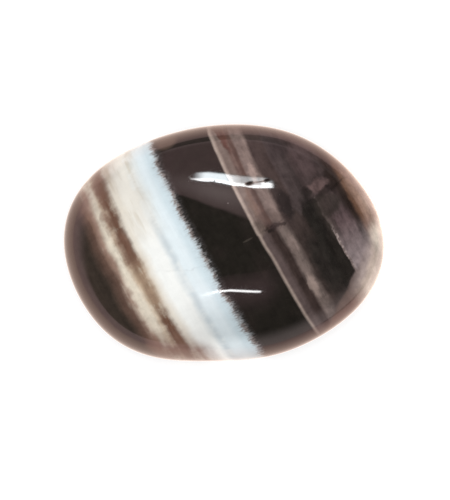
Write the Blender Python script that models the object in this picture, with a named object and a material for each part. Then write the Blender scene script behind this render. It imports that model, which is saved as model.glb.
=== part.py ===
"""An oval of banded agate, ground by hand: a domed, polished face on a flat back.

The stone is one solid. Its origin is the centre of the flat back, X runs along the
stone, and the dome faces up, along +Z.
"""

import math

import bmesh
import bpy
import numpy as np
from mathutils import Vector

MM = 0.001

# Driving dimensions
LENGTH = 25.0 * MM  # between callipers, along X
OVAL_LENGTH = 25.02 * MM  # the plain oval that the uneven grinding departs from
OVAL_WIDTH = 18.52 * MM
OVAL_TURN = math.radians(3.7)  # the oval's long axis leans this far from X towards Y
DOME_HEIGHT = 5.3 * MM  # from the widest outline to the crest
GIRDLE_HEIGHT = 1.3 * MM  # from the flat back to the widest outline
BELLY_DEPTH = 2.4 * MM  # how deep the rounded underside would go, if it weren't ground flat

# The power in each profile: 2 is an ellipse, and more gives rounder shoulders and a
# flatter crest
DOME_FULLNESS = 2.1
BELLY_FULLNESS = 2.4

# The uneven grinding: waves round the outline, each wave's height as a share of the
# radius, and the angle of its first crest
WAVES = (
    (3, 0.0070, math.radians(-19)),
    (4, 0.0137, math.radians(-30)),
    (5, 0.0077, math.radians(8)),
    (6, 0.0067, math.radians(-11)),
)

# Mesh
SEGMENTS = 96
RINGS = 36
OUTLINE_SAMPLES = 1440  # to measure the outline before it is sized
ON_THE_AXIS = 1e-9  # nearer the ball's axis than this, a point has no angle
SHARP_EDGE = math.radians(20)  # less than the turn at the rim of the flat back

# Finish
AGATE_COLOUR = (0.11, 0.08, 0.07, 1.0)
POLISHED_ROUGHNESS = 0.08


def clear_scene():
    """Remove every object, so that the stone stands alone."""
    for thing in list(bpy.data.objects):
        bpy.data.objects.remove(thing)


def uneven_oval(angle):
    """The outline before it is sized: a turned ellipse whose radius rises and falls
    by the waves. Returns x and y as arrays."""
    half_length, half_width = OVAL_LENGTH / 2, OVAL_WIDTH / 2
    along = half_width * np.cos(angle - OVAL_TURN)
    across = half_length * np.sin(angle - OVAL_TURN)
    radius = half_length * half_width / np.hypot(along, across)
    for count, height, crest in WAVES:
        radius = radius * (1 + height * np.cos(count * (angle - crest)))
    return radius * np.cos(angle), radius * np.sin(angle)


def outline_fit():
    """The scale that makes the outline LENGTH long, and the middle of its box."""
    x, y = uneven_oval(np.linspace(0, 2 * math.pi, OUTLINE_SAMPLES, endpoint=False))
    scale = LENGTH / (x.max() - x.min())
    return scale, (x.max() + x.min()) / 2, (y.max() + y.min()) / 2


def stone_point(ball_point, fit):
    """Carry a point of the unit ball to the stone.

    The ball's distance from its axis becomes a share of the outline's reach, and its
    height becomes a height on the dome or on the belly."""
    scale, middle_x, middle_y = fit
    reach = math.hypot(ball_point.x, ball_point.y)
    angle = math.atan2(ball_point.y, ball_point.x) if reach > ON_THE_AXIS else 0.0
    x, y = uneven_oval(angle)
    if ball_point.z >= 0:
        share = reach ** (2 / DOME_FULLNESS)
        height = DOME_HEIGHT * ball_point.z ** (2 / DOME_FULLNESS)
    else:
        share = reach ** (2 / BELLY_FULLNESS)
        height = -BELLY_DEPTH * (-ball_point.z) ** (2 / BELLY_FULLNESS)
    return Vector(
        (
            scale * (x - middle_x) * share,
            scale * (y - middle_y) * share,
            GIRDLE_HEIGHT + height,
        )
    )


def grind_flat(bm):
    """Slice the belly off at z = 0 and close the cut with one flat face."""
    cut = bmesh.ops.bisect_plane(
        bm,
        geom=bm.verts[:] + bm.edges[:] + bm.faces[:],
        plane_co=(0, 0, 0),
        plane_no=(0, 0, 1),
        clear_inner=True,
    )
    rim = [item for item in cut["geom_cut"] if isinstance(item, bmesh.types.BMEdge)]
    bmesh.ops.edgeloop_fill(bm, edges=rim)
    bmesh.ops.recalc_face_normals(bm, faces=bm.faces[:])


def agate_material():
    """One even, dark, polished finish: the bands are only colour."""
    material = bpy.data.materials.new("banded_agate")
    material.use_nodes = True
    shader = material.node_tree.nodes["Principled BSDF"]
    shader.inputs["Base Color"].default_value = AGATE_COLOUR
    shader.inputs["Roughness"].default_value = POLISHED_ROUGHNESS
    shader.inputs["Metallic"].default_value = 0.0
    return material


def make_stone(collection):
    """Pull a ball to the stone's shape, then grind its back flat."""
    bm = bmesh.new()
    bmesh.ops.create_uvsphere(bm, u_segments=SEGMENTS, v_segments=RINGS, radius=1.0)
    fit = outline_fit()
    for vertex in bm.verts:
        vertex.co = stone_point(vertex.co, fit)
    grind_flat(bm)
    mesh = bpy.data.meshes.new("agate_stone")
    bm.to_mesh(mesh)
    bm.free()
    mesh.shade_smooth()
    mesh.set_sharp_from_angle(angle=SHARP_EDGE)
    mesh.materials.append(agate_material())
    stone = bpy.data.objects.new("agate_stone", mesh)
    collection.objects.link(stone)
    return stone


def main():
    clear_scene()
    collection = bpy.data.collections.new("sulemani_agate")
    bpy.context.scene.collection.children.link(collection)
    make_stone(collection)


main()
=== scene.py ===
# %% [markdown]
# # A banded agate, ground by hand
# This lesson dresses one oval agate. Its solid was made first, in a file of its own, and is
# packed as a frame that every piece here has to fit. We load that frame, make the stone's fine
# surface over it, give it a layered stone material, and light it so that its polish shows.

# %% Load the frame
import math

import bpy
import numpy as np
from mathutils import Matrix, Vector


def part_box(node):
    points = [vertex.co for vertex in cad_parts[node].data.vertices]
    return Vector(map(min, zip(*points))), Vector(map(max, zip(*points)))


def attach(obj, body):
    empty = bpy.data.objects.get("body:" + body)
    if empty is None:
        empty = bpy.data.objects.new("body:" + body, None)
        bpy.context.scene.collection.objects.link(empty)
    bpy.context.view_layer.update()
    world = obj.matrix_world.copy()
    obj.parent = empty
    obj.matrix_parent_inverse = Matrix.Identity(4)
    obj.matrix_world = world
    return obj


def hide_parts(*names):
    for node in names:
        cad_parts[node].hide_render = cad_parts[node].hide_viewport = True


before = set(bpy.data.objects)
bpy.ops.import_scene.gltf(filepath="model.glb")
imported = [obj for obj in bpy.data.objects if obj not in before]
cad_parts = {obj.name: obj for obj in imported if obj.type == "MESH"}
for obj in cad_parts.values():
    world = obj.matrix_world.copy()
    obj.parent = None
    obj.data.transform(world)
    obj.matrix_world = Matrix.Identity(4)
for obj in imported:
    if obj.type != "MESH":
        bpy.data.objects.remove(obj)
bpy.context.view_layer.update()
MM = 0.001

# %% [markdown]
# ## The outline
# Seen from above, the stone is nearly an oval, but a hand at a grinding wheel leaves it uneven.
# We could draw that outline point by point. A formula is shorter and smoother: an ellipse
# that leans a little, whose radius rises and falls in four small waves. The solid uses the
# same formula, so the two agree all round.

# %% The outline, seen from above
OVAL_LENGTH = 25.02 * MM
OVAL_WIDTH = 18.52 * MM
OVAL_TURN = math.radians(3.7)

# Each wave: how many crests it has round the stone, its height as a share of the radius, and
# the angle of its first crest
WAVES = (
    (3, 0.0070, math.radians(-19)),
    (4, 0.0137, math.radians(-30)),
    (5, 0.0077, math.radians(8)),
    (6, 0.0067, math.radians(-11)),
)


def uneven_oval(angle):
    """x and y of the outline before it is sized.

    The radius is a * b / hypot(b cos, a sin), which is a turned ellipse's, times one plus
    each wave's cosine."""
    half_length, half_width = OVAL_LENGTH / 2, OVAL_WIDTH / 2
    along = half_width * np.cos(angle - OVAL_TURN)
    across = half_length * np.sin(angle - OVAL_TURN)
    radius = half_length * half_width / np.hypot(along, across)
    for count, height, crest in WAVES:
        radius = radius * (1 + height * np.cos(count * (angle - crest)))
    return radius * np.cos(angle), radius * np.sin(angle)


print("the outline has", len(WAVES), "waves")

# %% The outline, fitted to the solid
OUTLINE_SAMPLES = 1440

box_low, box_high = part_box("agate_stone")
x_all, y_all = uneven_oval(np.linspace(0, 2 * math.pi, OUTLINE_SAMPLES, endpoint=False))
FIT = min((box_high.x - box_low.x) / np.ptp(x_all), (box_high.y - box_low.y) / np.ptp(y_all))
MIDDLE_X = (x_all.max() + x_all.min()) / 2
MIDDLE_Y = (y_all.max() + y_all.min()) / 2


def place(angle, share):
    """x and y of a point that lies a share of the way from the middle to the outline."""
    x, y = uneven_oval(angle)
    x = (box_low.x + box_high.x) / 2 + FIT * (x - MIDDLE_X) * share
    y = (box_low.y + box_high.y) / 2 + FIT * (y - MIDDLE_Y) * share
    return x, y


print("the outline is scaled by", round(FIT, 5))

# %% [markdown]
# ## The profile
# Cut through the middle, the stone is a dome on a low rounded edge, with its back ground flat.
# Dome and edge are quarter arcs of a superellipse: share to the power n, plus height to the
# power n, is one. n is 2 for an ellipse, and a little more for the fuller shoulders of a real
# cabochon. We trace the profile once, from the crest down and in to the middle of the back.

# %% The profile's arcs
GIRDLE_HEIGHT = 1.3 * MM  # where the outline is widest
DOME_HEIGHT = box_high.z - GIRDLE_HEIGHT
DOME_FULLNESS = 2.1
BELLY_DEPTH = 2.4 * MM
BELLY_FULLNESS = 2.4
CHAMFER = 0.10 * MM  # the sawn back's edge is eased, so that it won't chip
DOME_ROWS, BELLY_ROWS, CHAMFER_ROWS, BACK_ROWS = 132, 26, 7, 22


def quarter_arc(turn, fullness):
    """(share, height) on a superellipse: cosine and sine of the turn, each to the power
    2 / fullness."""
    power = 2 / fullness
    return np.cos(turn) ** power, np.sin(turn) ** power


def belly_turn(depth):
    """The turn at which the belly is this deep below the girdle."""
    return math.asin((depth / BELLY_DEPTH) ** (BELLY_FULLNESS / 2))


print("the dome rises", round(DOME_HEIGHT / MM, 3), "mm above the girdle")


# %% The profile, from crest to back
def profile():
    """Shares and heights of every ring of the stone.

    The eased edge is a quadratic curve through the corner where belly and back would meet:
    (1-t)^2 A + 2 t (1-t) B + t^2 C."""
    dome_share, dome_height = quarter_arc(np.linspace(math.pi / 2, 0, DOME_ROWS), DOME_FULLNESS)
    dome_share[0] = 0.0
    turn_end = belly_turn(GIRDLE_HEIGHT - CHAMFER)
    belly_share, belly_height = quarter_arc(
        np.linspace(0, turn_end, BELLY_ROWS + 1)[1:], BELLY_FULLNESS
    )
    corner, _ = quarter_arc(np.array(belly_turn(GIRDLE_HEIGHT)), BELLY_FULLNESS)
    edge_end = 2 * corner - belly_share[-1]
    t = np.linspace(0, 1, CHAMFER_ROWS + 1)[1:]
    edge_share = (1 - t) ** 2 * belly_share[-1] + 2 * t * (1 - t) * corner + t**2 * edge_end
    edge_height = (1 - t) ** 2 * CHAMFER
    back_share = np.linspace(edge_end, 0, BACK_ROWS + 1)[1:]
    share = np.concatenate([dome_share, belly_share, edge_share, back_share])
    height = np.concatenate(
        [
            GIRDLE_HEIGHT + DOME_HEIGHT * dome_height,
            GIRDLE_HEIGHT - BELLY_DEPTH * belly_height,
            edge_height,
            np.zeros(BACK_ROWS),
        ]
    )
    return share, height


SHARES, HEIGHTS = profile()
print("the profile has", len(SHARES), "rings, from", HEIGHTS[0] / MM, "mm down to", HEIGHTS[-1])

# %% [markdown]
# ## The hand's unevenness
# A wheel-ground dome is never a perfect surface: it has low swells, a few millimetres apart
# and a hundredth of a millimetre high. You can't see them, but you see what they do to a
# reflection. The back's edge has a few small nicks, as sawn stone has. Both are sums of simple
# shapes over whole arrays, and both only take stone away, so the surface stays in the solid.

# %% Swells and nicks
SWELL_HEIGHT = 0.010 * MM

# Each swell: its length, the direction that it runs in, and where its first crest lies
SWELLS = (
    (9.0 * MM, math.radians(20), 0.4),
    (6.5 * MM, math.radians(115), 2.1),
    (5.0 * MM, math.radians(70), 4.4),
    (3.6 * MM, math.radians(160), 1.3),
)

# Each nick: its angle round the back's edge, its reach and its depth
NICKS = (
    (math.radians(24), 0.55 * MM, 0.10 * MM),
    (math.radians(71), 0.40 * MM, 0.07 * MM),
    (math.radians(128), 0.75 * MM, 0.12 * MM),
    (math.radians(193), 0.45 * MM, 0.08 * MM),
    (math.radians(251), 0.60 * MM, 0.11 * MM),
    (math.radians(262), 0.35 * MM, 0.06 * MM),
    (math.radians(322), 0.50 * MM, 0.09 * MM),
)


def swell(x, y):
    """How far the polish has worn the dome down: the height, times the mean over the swells
    of one minus a cosine along the swell's direction."""
    worn = np.zeros_like(x)
    for length, direction, phase in SWELLS:
        across = x * math.cos(direction) + y * math.sin(direction)
        worn += 1 - np.cos(2 * math.pi * across / length + phase)
    return SWELL_HEIGHT * worn / len(SWELLS)


def nick_depth(x, y):
    """How deep the edge of the back is chipped: (1 - (distance / reach)^2)^2 round each nick."""
    depth = np.zeros_like(x)
    edge_share = SHARES[DOME_ROWS + BELLY_ROWS]
    for angle, reach, deepest in NICKS:
        nick_x, nick_y = place(np.array(angle), edge_share)
        near = np.clip(1 - np.hypot(x - nick_x, y - nick_y) ** 2 / reach**2, 0, None)
        depth += deepest * near**2
    return depth


print("there are", len(SWELLS), "swells and", len(NICKS), "nicks")

# %% [markdown]
# ## The stone's surface
# The surface is a grid: one parameter runs round the stone and the other down the profile.
# Every point comes from whole arrays, with no loop over vertices. The first and last rings
# close to one vertex each, at the crest and in the middle of the back.

# %% Every point of the surface
AROUND = 480
NICK_ZONE = 0.45 * MM  # nicks reach this high up the edge


def stone_points():
    """The grid of points (ring, angle, xyz): the outline times each ring's share, at its
    height, less the swells on the dome and the nicks round the back."""
    angle = np.linspace(0, 2 * math.pi, AROUND, endpoint=False)
    x, y = place(angle[None, :], SHARES[:, None])
    z = np.repeat(HEIGHTS[:, None], AROUND, axis=1)
    on_dome = np.clip((z - GIRDLE_HEIGHT) / DOME_HEIGHT, 0, 1)
    z = z - swell(x, y) * np.sqrt(on_dome)
    low_down = np.clip(1 - z / NICK_ZONE, 0, 1)
    depth = nick_depth(x, y) * low_down
    x, y = x - depth * np.cos(angle), y - depth * np.sin(angle)
    return np.stack([x, y, z + depth], axis=-1)


points = stone_points()
points[0] = points[0].mean(axis=0)
points[-1] = points[-1].mean(axis=0)
print("the grid has", points.shape[0], "rings of", points.shape[1], "points")


# %% Faces between the points
def grid_faces(rings, around):
    """Quads between neighbouring rings, and a fan of triangles at each end, so that the
    surface is closed. Seen from outside, each face's corners run anticlockwise."""
    ring = 1 + np.arange(rings - 3)[:, None] * around
    here = np.arange(around)[None, :]
    after = (here + 1) % around
    quads = np.stack(
        [ring + here, ring + around + here, ring + around + after, ring + after], axis=-1
    )
    first, last = 0, 1 + (rings - 2) * around
    start = 1 + (rings - 3) * around
    crest = np.stack([np.full(around, first), 1 + here[0], 1 + after[0]], axis=-1)
    middle = np.stack([start + here[0], np.full(around, last), start + after[0]], axis=-1)
    return quads.reshape(-1, 4).tolist() + crest.tolist() + middle.tolist()


def closed_surface(name, points):
    """A mesh object from a grid of points whose first and last rings are one point each."""
    rings, around, _ = points.shape
    vertices = np.concatenate([points[:1, 0], points[1:-1].reshape(-1, 3), points[-1:, 0]])
    mesh = bpy.data.meshes.new(name)
    mesh.from_pydata(vertices.tolist(), [], grid_faces(rings, around))
    mesh.shade_smooth()
    piece = bpy.data.objects.new(name, mesh)
    bpy.context.scene.collection.objects.link(piece)
    return piece


stone = closed_surface("polished_agate", points)
stone.data.calc_loop_triangles()
print("the surface has", len(stone.data.loop_triangles), "triangles")

# %% [markdown]
# ## Writing a material as sums
# Agate's pattern fills the whole stone, so we work it out from each point's place in it, which
# is what Object coordinates give: a cut anywhere shows the right bands. That takes many small
# nodes. We could place them by hand in the shader editor, but a recipe in words is easier to
# read and to change, so we make a helper whose every call adds a node and hands back its
# output. Colours are written as a painter would mix them on screen, from 0 to 255.

# %% Colours as a screen shows them
TOP_OF_SCREEN = 255
KNEE, SLOPE, LIFT, POWER = 0.04045, 12.92, 0.055, 2.4  # the screen's own curve


def paint(red, green, blue):
    """A linear colour, with alpha, from the values that a screen would show: shown / slope
    up to the knee, and ((shown + lift) / (1 + lift)) ^ power above it."""
    shown = np.array([red, green, blue]) / TOP_OF_SCREEN
    linear = np.where(shown <= KNEE, shown / SLOPE, ((shown + LIFT) / (1 + LIFT)) ** POWER)
    return (*linear.tolist(), 1.0)


MIDDLE_GREY = paint(128, 128, 128)
print("a screen's middle grey is", round(MIDDLE_GREY[0], 3), "in linear light")


# %% A helper for node recipes
class Nodes:
    """One material's nodes. A value is a number, or another node's output."""

    def __init__(self, name):
        self.material = bpy.data.materials.new(name)
        self.material.use_nodes = True
        self.tree = self.material.node_tree
        self.tree.nodes.clear()

    def node(self, kind, **settings):
        """A new node, with its settings."""
        made = self.tree.nodes.new(kind)
        for setting, value in settings.items():
            setattr(made, setting, value)
        return made

    def feed(self, socket, value):
        """Wire an output to a socket, or set a number on it."""
        if isinstance(value, bpy.types.NodeSocket):
            self.tree.links.new(value, socket)
        else:
            socket.default_value = value

    def run(self, made, *values):
        """Feed a node's first inputs, in order, and hand back its first output."""
        for socket, value in zip(made.inputs, values):
            self.feed(socket, value)
        return made.outputs[0]

    def show(self, shader):
        """Make a shader the material's surface."""
        self.feed(self.node("ShaderNodeOutputMaterial").inputs["Surface"], shader)


print("a recipe's nodes can", [name for name in vars(Nodes) if not name.startswith("_")])


# %% Sums and products
class Recipe(Nodes):
    """Nodes that do sums."""

    def combine(self, operation, *values):
        """Join the values by one operation, from the first to the last."""
        made = values[0]
        for value in values[1:]:
            made = self.run(self.node("ShaderNodeMath", operation=operation), made, value)
        return made

    def total(self, *values):
        """The sum of all the values."""
        return self.combine("ADD", *values)

    def product(self, *values):
        """All the values, multiplied."""
        return self.combine("MULTIPLY", *values)

    def minus(self, first, second):
        """The first value less the second."""
        return self.combine("SUBTRACT", first, second)

    def rest(self, value):
        """What is left of one."""
        return self.minus(1.0, value)

    def past(self, value, start):
        """How far a value is past a start, and nothing before it."""
        return self.combine("MAXIMUM", self.minus(value, start), 0.0)


print("its sums are", [name for name in vars(Recipe) if not name.startswith("_")])

# %% [markdown]
# ## Soft steps
# Nearly every edge in a stone is a change from one value to another over some distance, so
# we need that as a tool. A colour ramp could do it, but it keeps its numbers in the node. A map
# range node takes them as plain inputs: from where to where, and the value on either side. Two
# of them, one rising and one falling, make a window.

# %% Easing, swinging and windows
SPOT_CORE = 0.45  # a spot is at full strength up to this share of its reach


class SoftRecipe(Recipe):
    """A recipe with soft steps."""

    def ease(self, value, start, end, low=0.0, high=1.0):
        """Low up to start, high from end on, and an S-shaped curve between them."""
        made = self.node("ShaderNodeMapRange", interpolation_type="SMOOTHSTEP")
        return self.run(made, value, start, end, low, high)

    def wander(self, noise, reach):
        """A noise from 0 to 1, made to swing by this much to either side of nothing."""
        made = self.node("ShaderNodeMapRange", clamp=False)
        return self.run(made, noise, 0.0, 1.0, -reach, reach)

    def window(self, value, start, end, soft):
        """One between start and end, and nothing outside, with soft sides."""
        rising = self.ease(value, start - soft / 2, start + soft / 2)
        falling = self.ease(value, end + soft / 2, end - soft / 2)
        return self.product(rising, falling)

    def stretch(self, place, factors, shift=(0.0, 0.0, 0.0)):
        """A place, times the factors, plus the shift."""
        made = self.node("ShaderNodeVectorMath", operation="MULTIPLY_ADD")
        return self.run(made, place, factors, shift)

    def spot(self, place, middle, reach, strength=1.0):
        """An upright oval column in the stone: its strength in the middle, and nothing from
        its reach on. Middle and reach are (across, along)."""
        shift = (-middle[0] / reach[0], -middle[1] / reach[1], 0.0)
        away = self.stretch(place, (1 / reach[0], 1 / reach[1], 0.0), shift)
        length = self.node("ShaderNodeVectorMath", operation="LENGTH")
        self.feed(length.inputs[0], away)
        return self.ease(length.outputs["Value"], 1.0, SPOT_CORE, 0.0, strength)


print("a spot is full up to", SPOT_CORE, "of its reach, and gone at the end of it")

# %% [markdown]
# ## Noises and layers of colour
# Three more tools finish the set. A noise is a cloudy value about a half, and we give each one
# its own stretch and shift, so that no two look alike. A wash lays one colour over another as
# far as a mask says. And a table of layers gives a colour for each depth in the stone: that is
# one colour ramp, filled from rows that we can read.

# %% Noises and washes
class StoneRecipe(SoftRecipe):
    """A soft recipe with noises and colours."""

    def noise_node(self, place, scale=1.0, detail=2.0, roughness=0.5):
        """A noise texture: a cloudy value, and a colour made of three more."""
        made = self.node("ShaderNodeTexNoise")
        settings = {"Vector": place, "Scale": scale, "Detail": detail, "Roughness": roughness}
        for socket, value in settings.items():
            self.feed(made.inputs[socket], value)
        return made

    def noise(self, place, *settings):
        """A cloudy value, mostly from 0.3 to 0.7."""
        return self.noise_node(place, *settings).outputs[0]

    def cones(self, place):
        """The distance to the nearest of many scattered points: a field of small cones."""
        made = self.node("ShaderNodeTexVoronoi")
        self.feed(made.inputs["Vector"], place)
        self.feed(made.inputs["Scale"], 1.0)
        return made.outputs["Distance"]

    def brighten(self, colour, factor):
        """The colour, times the factor."""
        made = self.node("ShaderNodeVectorMath", operation="SCALE")
        self.feed(made.inputs[0], colour)
        self.feed(made.inputs["Scale"], factor)
        return made.outputs[0]

    def blend(self, factor, first, second):
        """The first colour where the factor is 0, the second where it is 1."""
        made = self.node("ShaderNodeMix", data_type="RGBA")
        for socket, value in {"Factor": factor, "A": first, "B": second}.items():
            self.feed(made.inputs[socket], value)
        return made.outputs["Result"]

    def wash(self, base, where, strength, colour):
        """A colour over a base, this strongly where the mask is one."""
        return self.blend(self.product(where, strength), base, colour)


agate = StoneRecipe("layered_agate")
print("started", agate.material.name)


# %% Layers from a table
def layers(depth, table):
    """A colour for each depth in the stone. Each row of the table is a layer: its first and
    last depth and its colour. The gap to the next layer is a soft change."""
    low, high = table[0][0], table[-1][1]
    ramp = agate.node("ShaderNodeValToRGB")
    stops = ramp.color_ramp.elements
    stops.remove(stops[1])
    stops[0].position, stops[0].color = 0.0, table[0][2]
    edges = [(edge, colour) for start, end, colour in table for edge in (start, end)]
    for edge, colour in edges[1:]:
        stop = stops.new((edge - low) / (high - low))
        stop.color = colour
    share = agate.run(agate.node("ShaderNodeMapRange"), depth, low, high, 0.0, 1.0)
    return agate.run(ramp, share)


print("a layer is a row: from, to, colour")

# %% [markdown]
# ## The layers' own directions
# Agate settles in layers, one on the other, so its pattern has a grain as wood has. We turn
# the coordinates to it and count in millimetres: `across` counts through the layers, `along`
# runs with them, and `up` is the stone's height. The layers lean a little, which is why the
# bands bow on the dome. The recipe's calls get short names here, because the formulas that
# follow are made of little else.

# %% Coordinates across and along the layers
GRAIN_TURN = math.radians(-28)
LEAN = 0.12  # how far a layer moves across for each unit of height
CREST = box_high.z / MM

here = agate.node("ShaderNodeTexCoord")
turned = agate.node("ShaderNodeMapping", vector_type="POINT")
turned.inputs["Scale"].default_value = (1 / MM, 1 / MM, 1 / MM)
turned.inputs["Rotation"].default_value = (0.0, 0.0, GRAIN_TURN)
agate.feed(turned.inputs["Vector"], here.outputs["Object"])
grain = turned.outputs[0]
parts = agate.node("ShaderNodeSeparateXYZ")
agate.feed(parts.inputs[0], grain)
across, along, up = parts.outputs
layer = agate.minus(across, agate.product(agate.minus(CREST, up), LEAN))

total, product, minus, rest = agate.total, agate.product, agate.minus, agate.rest
ease, window, wander, wash = agate.ease, agate.window, agate.wander, agate.wash


def veins(repeats, shift, detail=2.0, roughness=0.5):
    """A noise in the grain's own coordinates. It changes about this many times a millimetre
    across, along and up: few along and many across makes streaks."""
    return agate.noise(agate.stretch(grain, repeats, shift), 1.0, detail, roughness)


print("the layers lean", round(math.degrees(math.atan(LEAN)), 1), "degrees")

# %% [markdown]
# ## Uneven layers
# No layer is quite flat. The older ones, on the light side, swell and pinch. Those next to the
# black are the straightest, and beyond it they waver again. One slow noise bends them and one
# quick noise frets their edges, both strongest on the light side. From here on, a named row of
# numbers is what its tool takes. An ease takes its start and end and the two values that it
# goes between. A window takes its start, its end and how soft its sides are. Veins take how
# often they change in a millimetre, their shift, and their detail and roughness.

# %% Bending the layers
BEND, FRET = 0.24, 0.26  # by the slow noise and by the quick one
SLOW = ((0.12, 0.30, 0.30), (0.0, 0.0, 0.0), 1.0)
QUICK = ((0.5, 0.9, 0.9), (7.0, 0.0, 0.0), 4.0)
LIGHT_SIDE = (-1.0, -5.5, 0.18, 1.0)
FAR_SIDE = (3.0, 4.4, 0.0, 0.42)

slow = veins(*SLOW)
quick = veins(*QUICK)
bending = total(wander(slow, BEND), wander(quick, FRET))
uneven = product(bending, total(ease(layer, *LIGHT_SIDE), ease(layer, *FAR_SIDE)))
print("the layers bend by up to", BEND, "mm and fray by up to", FRET, "mm")

# %% [markdown]
# ## The healed crack
# A crack once crossed the layers and healed. It shows as a thin dark line that wanders across
# them, and the layers on its two sides are a hair out of line. We measure each point's
# distance past the crack, and slip the layers where that distance changes sign. The layers
# also bow: the dark ones below the crack, and the oldest light ones towards their upper end.
# Adding all of these to the layer's place gives the depth, and every colour follows from it.

# %% The crack's line and slip
CRACK_PLACE = -0.72
CRACK_RISE_FROM, CRACK_RISE = 3.2, 0.10
CRACK_BEND_FROM, CRACK_BEND = -3.2, 0.50
CRACK_WAVE, CRACK_WANDER = ((0.9, 0.0, 0.5), (3.0, 0.0, 0.0), 4.0), 0.40
CRACK_SLIP, SLIP_SOFT = 0.05, 0.10

crack_line = total(
    CRACK_PLACE,
    product(agate.past(across, CRACK_RISE_FROM), CRACK_RISE),
    product(agate.past(CRACK_BEND_FROM, across), CRACK_BEND),
    wander(veins(*CRACK_WAVE), CRACK_WANDER),
)
past_crack = minus(along, crack_line)
slip = ease(past_crack, -SLIP_SOFT, SLIP_SOFT, -CRACK_SLIP, 0.0)
print("the crack slips the layers by", CRACK_SLIP, "mm")

# %% The bows, and the depth
BOW = (-0.8, -3.5, 0.0, -0.09)
OLD_BOW, OLD_LAYERS = (3.0, 8.0, 0.0, -0.20), (-5.0, -6.2)
PAST_BLACK = (0.5, 2.0)

dark_bow = product(total(slip, ease(along, *BOW)), ease(layer, *PAST_BLACK))
old_bow = product(ease(along, *OLD_BOW), ease(layer, *OLD_LAYERS))
depth = total(layer, uneven, old_bow, dark_bow)
print("the dark layers bow by", -BOW[3], "mm and the oldest light ones by", -OLD_BOW[3], "mm")

# %% [markdown]
# ## The light side
# From the stone's left end come smoky stone, a cream streak, a brown seam, and then the
# white band that this agate is known for, which turns bluish and ends against the black. Each
# is a row in a table: from where to where, in millimetres, and a colour. A table is the
# plainest way to write down layers, and a layer is moved or repainted by changing one row.

# %% The layers of the light side
SMOKE = paint(54, 46, 40)
RUSSET = paint(90, 70, 61)
BISCUIT = paint(150, 125, 112)
CREAM = paint(219, 209, 192)
STRAW = paint(202, 184, 163)
UMBER = paint(102, 74, 60)
IVORY = paint(226, 219, 207)
PORCELAIN = paint(243, 244, 241)
SKY_LINE = paint(205, 214, 218)
ICE = paint(226, 236, 240)
PALE_BLUE = paint(209, 223, 229)
LIGHT_LAYERS = (
    (-14.0, -9.80, SMOKE),
    (-9.02, -8.94, RUSSET),
    (-8.50, -8.46, BISCUIT),
    (-8.04, -7.80, CREAM),
    (-7.50, -7.44, STRAW),
    (-7.08, -6.60, UMBER),
    (-6.20, -6.10, IVORY),
    (-5.45, -4.55, PORCELAIN),
    (-4.10, -3.98, SKY_LINE),
    (-3.60, -3.00, ICE),
    (-2.50, 14.0, PALE_BLUE),
)

light_stone = layers(depth, LIGHT_LAYERS)
print("the light side has", len(LIGHT_LAYERS), "layers")

# %% [markdown]
# ## Streaks in the light side
# Close up, the cream and the brown aren't clean stripes. The cream is a row of islands, fuller
# towards its lower half, and streaks of each colour run through the other. The brown seam is
# broad at its upper end and all but fades halfway along. Three noises make this: one pulled
# out along the layers gives streaks, a rounder one patches, and a slow one islands. Windows
# keep them to the coloured part.

# %% Streaks, patches and islands
STREAKS = ((1.7, 0.26, 0.26), (0.0, 2.0, 5.0), 3.0)
PATCHES = ((0.7, 0.75, 0.75), (6.0, 1.0, 0.0), 4.0, 0.6)
ISLANDS = ((0.60, 0.55, 0.55), (9.0, 3.0, 0.0))
STREAKS_SHARE, PATCHES_SHARE = 0.55, 0.45
COLOURED_PART = (-9.1, -6.3, 0.6)

streaks, patches, islands = (veins(*row) for row in (STREAKS, PATCHES, ISLANDS))
mixed = total(product(streaks, STREAKS_SHARE), product(patches, PATCHES_SHARE))
coloured = window(depth, *COLOURED_PART)
print("streaks are", round(STREAKS[0][0] / STREAKS[0][1], 1), "times as long as wide")

# %% Where each colour runs through the others
SEAM, SEAM_FADES = (-7.4, -6.2, 0.5), (-2.2, 2.0, 2.4)
BROWN_STREAKS = (0.50, 0.66)
CREAM_STREAKS, CREAM_FROM = (0.50, 0.35), (-9.1, -8.4)
GAPS, GAPS_IN, GAPS_FADE = (0.46, 0.62), (-8.6, -7.3, 0.7), (-2.2, 1.4, 0.20, 0.62)
FULL_CREAM, FULL_IN, FULL_ALONG = (0.60, 0.44), (-8.52, -7.55, 0.4), (-4.6, 1.4, 2.4)
BROAD_SEAM, BROAD_ALONG, BROAD_PATCHES = (-7.56, -6.52, 0.55), (0.6, 2.4), (0.28, 0.60)

fading = product(window(along, *SEAM_FADES), window(depth, *SEAM))
browned = product(ease(mixed, *BROWN_STREAKS), coloured)
creamed = product(ease(mixed, *CREAM_STREAKS), coloured, ease(depth, *CREAM_FROM))
gaps = product(ease(islands, *GAPS), window(depth, *GAPS_IN))
full = product(window(depth, *FULL_IN), window(along, *FULL_ALONG), ease(islands, *FULL_CREAM))
broad_end = product(window(depth, *BROAD_SEAM), ease(along, *BROAD_ALONG))
broad = product(broad_end, ease(patches, *BROAD_PATCHES))

# Each wash: where it lies, how strong it is, and its colour
STREAK_WASHES = (
    (fading, 0.50, paint(192, 168, 142)),
    (browned, 0.55, paint(134, 106, 90)),
    (creamed, 0.50, CREAM),
    (gaps, ease(along, *GAPS_FADE), paint(138, 112, 98)),
    (full, 0.70, CREAM),
    (broad, 0.80, paint(108, 80, 67)),
)
for where, strength, colour in STREAK_WASHES:
    light_stone = wash(light_stone, where, strength, colour)
print("the streaks take", len(STREAK_WASHES), "washes")

# %% [markdown]
# ## The white band's straw end
# The white isn't pure either. Towards its upper end it turns to straw, with a few darker
# straw streaks, and small clouds of white break up the grey line that runs through it. The
# streaks are the same noise as before, so they seem to belong to the same growth.

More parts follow.
